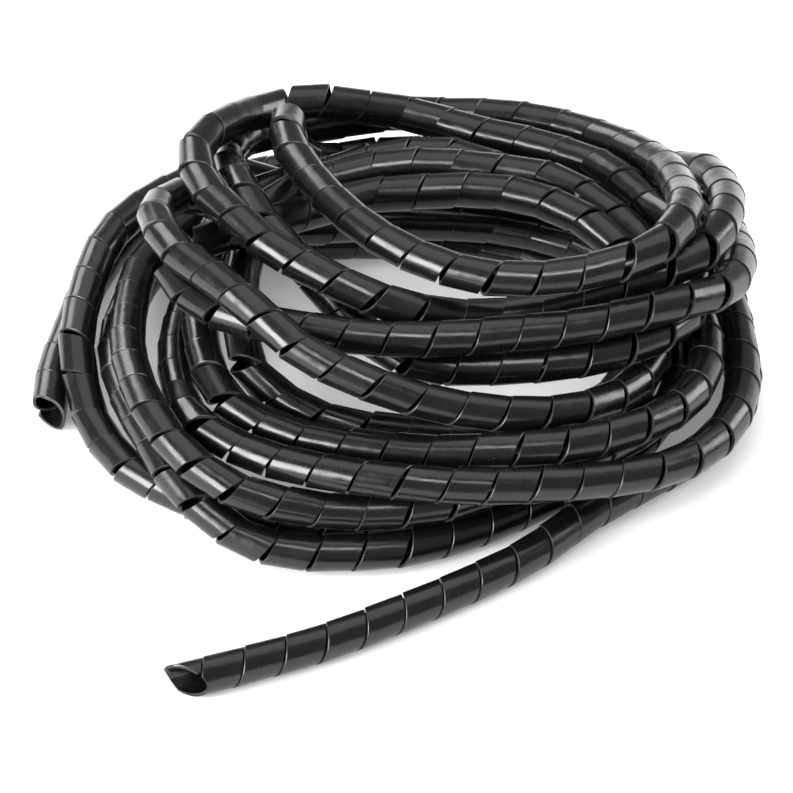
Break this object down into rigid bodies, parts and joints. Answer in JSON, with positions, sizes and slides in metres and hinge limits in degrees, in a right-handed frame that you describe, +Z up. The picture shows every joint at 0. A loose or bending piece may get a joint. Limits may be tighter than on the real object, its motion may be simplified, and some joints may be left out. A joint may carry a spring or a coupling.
{
  "type": "spiral cable wrap",
  "caption": "Loose coil of black plastic spiral cable wrap, a slit flexible tube that bundles wires, with two open ends.",
  "frame": {"origin": "on the floor, under the middle of the coil's bounding box", "axes": "+Z up, -Y towards the free end that runs out at the front, +X to the right of a viewer who faces +Y"},
  "size_m": [0.242, 0.2772, 0.077],
  "materials": {
    "wrap_plastic": "glossy black polyethylene with fine extrusion lines"
  },
  "bodies": {
    "root": {"spiral_wrap": "wrap_plastic"}
  },
  "joints": []
}
